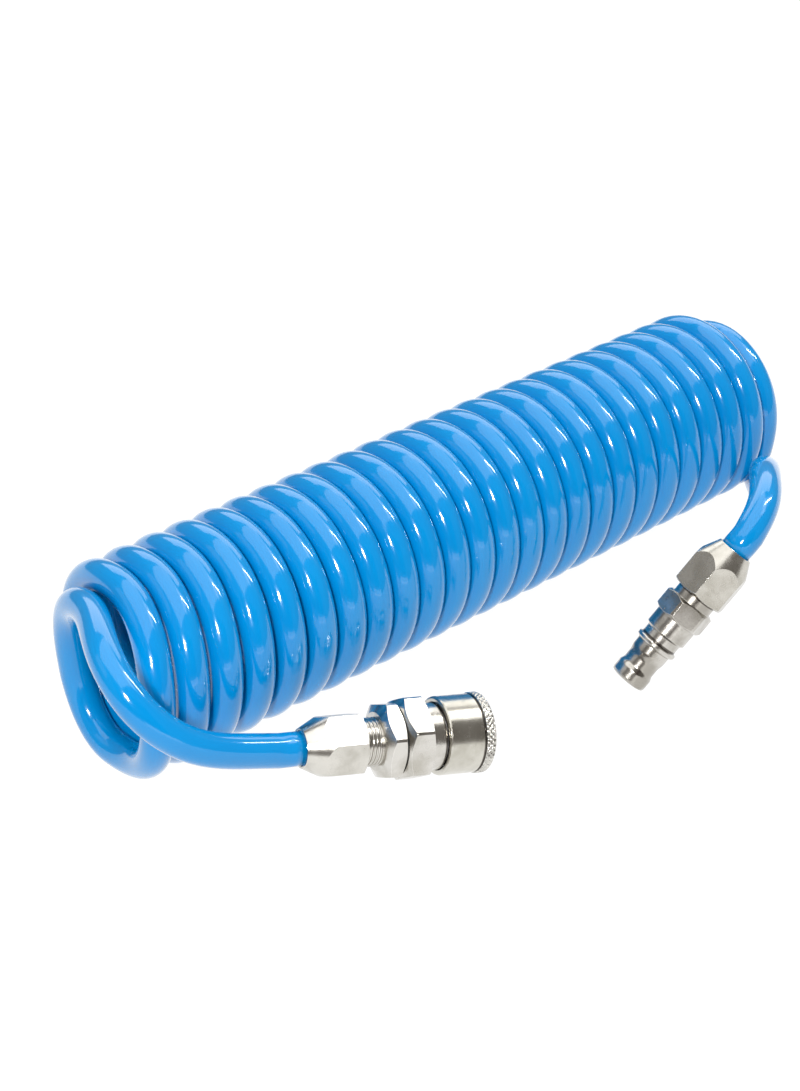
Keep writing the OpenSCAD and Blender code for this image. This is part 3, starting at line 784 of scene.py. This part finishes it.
# The nose is turned smooth from its shank through the waist to the tip.
shank_radius, waist_radius, tip_radius = 6.85, 6.3, 7.0
nose_start, tip_chamfer_start = 46.1, 61.2
waist_fall, waist_rise = (3.2, 6.4), (9.3, 11.6)
skin_rise, skin_depth, skin_inset, nose_step = 0.07, 0.4, 0.2, 0.25
nose_sides = 128
nose_stations = [
    nose_start + skin_inset + nose_step * i
    for i in range(int((tip_chamfer_start - nose_start - skin_inset) / nose_step) + 1)
]
nose_outline = [
    (shank_radius + skin_rise
     - (shank_radius - waist_radius) * eased_step(z - nose_start, *waist_fall)
     + (tip_radius - waist_radius) * eased_step(z - nose_start, *waist_rise), z)
    for z in nose_stations
]
nose_inside = [(waist_radius - skin_depth, z) for z in reversed(nose_stations)]
nose_skin = turned_piece(
    "plug_nose_skin", nose_outline + nose_inside, plug_pose, plug_plate, nose_sides
)
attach(nose_skin, "hose_with_fittings")

# ---- Floor and light ----------------------------------------------------------------------
# A white floor that glows, so that it takes no shadow, and a dark card behind the camera for
# the metal to mirror. A square lamp and a strip lamp leave their glints on the turns, and
# broad ones light them from above, behind and the sides.

floor_mesh = bpy.data.meshes.new("floor")
reach = 6.0
floor_mesh.from_pydata(
    [(-reach, -reach, 0), (reach, -reach, 0), (reach, reach, 0), (-reach, reach, 0)],
    [], [(0, 1, 2, 3)],
)
floor = bpy.data.objects.new("floor", floor_mesh)
bpy.context.collection.objects.link(floor)
white_floor = Finish(
    "white_floor", Base_Color=(0.06, 0.06, 0.06, 1), Roughness=0.9,
    Emission_Color=(1, 1, 1, 1), Emission_Strength=0.99,
)
floor_mesh.materials.append(white_floor.material)


def facing(place, target):
    """The turn that points a lamp or a card at its target."""
    return (Vector(target) - Vector(place)).to_track_quat("-Z", "Y").to_matrix().to_4x4()


def toward(azimuth, elevation, distance):
    """A place seen from the coil, by its angles in degrees and its distance."""
    azimuth, elevation = math.radians(azimuth), math.radians(elevation)
    return distance * Vector((
        math.cos(elevation) * math.cos(azimuth), math.cos(elevation) * math.sin(azimuth),
        math.sin(elevation),
    ))


card_place = toward(-128, 30, 1.35)
card_mesh = bpy.data.meshes.new("dark_card")
card_mesh.from_pydata(
    [(-1.0, -0.5, 0), (1.0, -0.5, 0), (1.0, 0.5, 0), (-1.0, 0.5, 0)], [], [(0, 1, 2, 3)]
)
card_mesh.transform(Matrix.Translation(card_place) @ facing(card_place, (0, 0, 0.03)))
card = bpy.data.objects.new("dark_card", card_mesh)
bpy.context.collection.objects.link(card)
card_mesh.materials.append(Finish(
    "dark_card", Base_Color=(0.045, 0.026, 0.018, 1), Roughness=0.9
).material)


def soft_lamp(name, place, width, height, power, target=(0, 0, 0.04)):
    data = bpy.data.lights.new(name, "AREA")
    data.shape = "RECTANGLE"
    data.size, data.size_y = width, height
    data.energy = power
    lamp = bpy.data.objects.new(name, data)
    lamp.matrix_world = Matrix.Translation(place) @ facing(place, target)
    bpy.context.collection.objects.link(lamp)


soft_lamp("square_lamp", toward(-143, 36, 1.15), 0.13, 0.16, 10)
soft_lamp("strip_lamp", toward(-13, 46, 1.1), 0.06, 0.5, 3.6)
soft_lamp("side_lamp", toward(-19, 56, 1.5), 0.7, 0.4, 1.3)
soft_lamp("low_front_lamp", toward(-112, 3, 1.1), 0.9, 0.14, 0.55)
soft_lamp("back_lamp", toward(49, 36, 1.4), 1.6, 0.7, 6.5)
soft_lamp("left_back_lamp", toward(150, 33, 1.4), 0.7, 0.5, 0.55)
soft_lamp("top_lamp", (0.0, 0.1, 1.55), 2.2, 1.8, 19, target=(0, 0, 0))
world = bpy.data.worlds.new("studio")
bpy.context.scene.world = world
world.use_nodes = True
world.node_tree.nodes["Background"].inputs["Color"].default_value = (1, 0.94, 0.88, 1)
world.node_tree.nodes["Background"].inputs["Strength"].default_value = 0.2
bpy.context.scene.view_settings.view_transform = "Standard"
